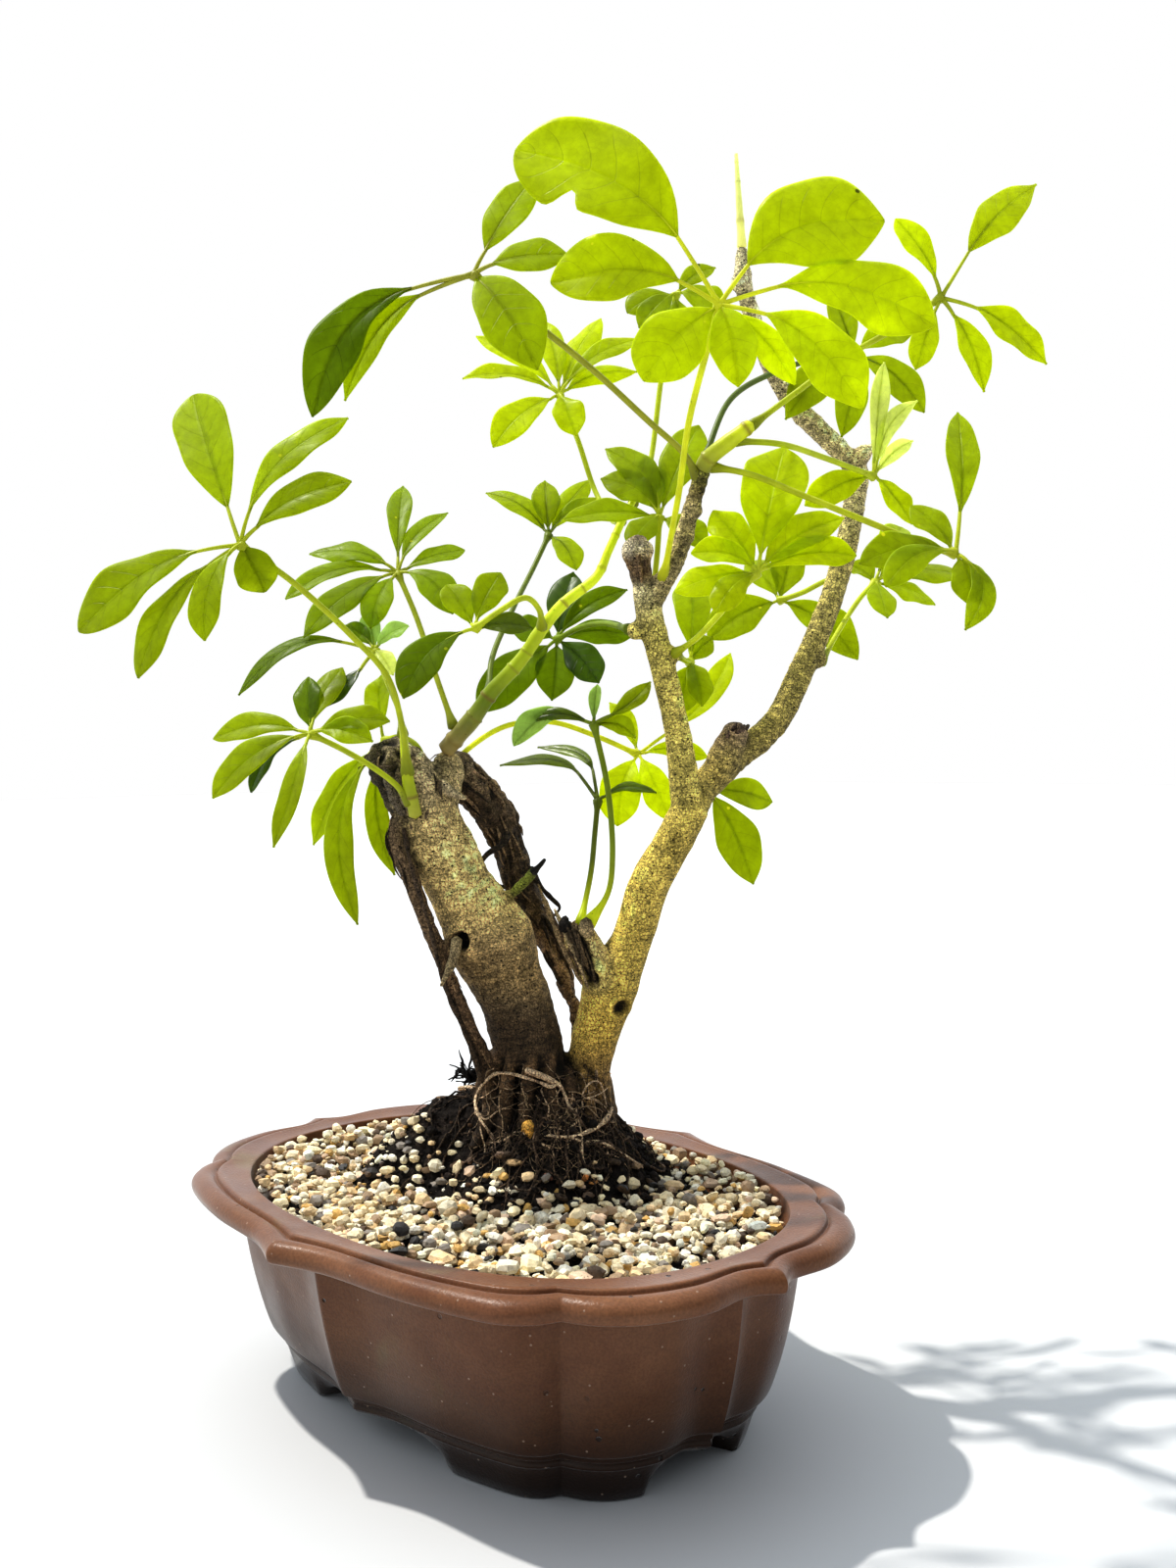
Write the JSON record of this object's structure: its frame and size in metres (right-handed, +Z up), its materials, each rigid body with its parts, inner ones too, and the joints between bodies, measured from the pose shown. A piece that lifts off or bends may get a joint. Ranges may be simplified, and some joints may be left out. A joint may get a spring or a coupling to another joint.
{
  "type": "umbrella tree bonsai",
  "caption": "Umbrella tree bonsai: a leaning and an upright trunk with fans of oval leaflets, in a pebble-topped oval clay pot with a bracket-shaped lip.",
  "frame": {"origin": "centre of the whole object's bounding box, on the surface that the pot's feet stand on", "axes": "+Z up, along the trunks; +X along the pot's long side; +Y along its short side"},
  "size_m": [0.2194, 0.2604, 0.3494],
  "materials": {
    "clay": "unglazed reddish brown clay, matte, with pale specks and small pits",
    "screen": "dark matte mesh",
    "soil": "moist dark crumbly soil",
    "gravel": "cream, white, tan and grey rounded pebbles",
    "bark": "tan bark with dark specks, dark brown at the base",
    "green_stem": "smooth green young bark",
    "leaf": "satin leaf that lets light through"
  },
  "bodies": {
    "root": {"pot": "clay", "drainage_screen_left": "screen", "drainage_screen_right": "screen", "soil": "soil", "gravel": "gravel", "wood": "bark", "green_stem_left": "green_stem", "green_tip_middle": "green_stem", "green_tip_right": "green_stem", "green_shoot_stump": "green_stem", "leaf_far_left": "leaf", "leaf_left_upper": "leaf", "leaf_left_arched": "leaf", "leaf_left_young": "leaf", "leaf_left_lower": "leaf", "leaf_left_hanging": "leaf", "leaf_top_small": "leaf", "leaf_top_left": "leaf", "leaf_top_front": "leaf", "leaf_top_right": "leaf", "leaf_right_outer": "leaf", "leaf_right_pale": "leaf", "leaf_centre_right": "leaf", "leaf_behind_right": "leaf", "leaf_right_flat": "leaf", "leaf_centre_dark": "leaf", "leaf_centre_upper": "leaf", "leaf_centre_back": "leaf", "leaf_low_left": "leaf", "leaf_low_arched": "leaf", "leaf_low_yellow": "leaf", "leaf_behind_fork": "leaf", "leaf_at_knob": "leaf", "leaf_behind_upper_right": "leaf", "leaf_top_behind": "leaf"}
  },
  "joints": []
}
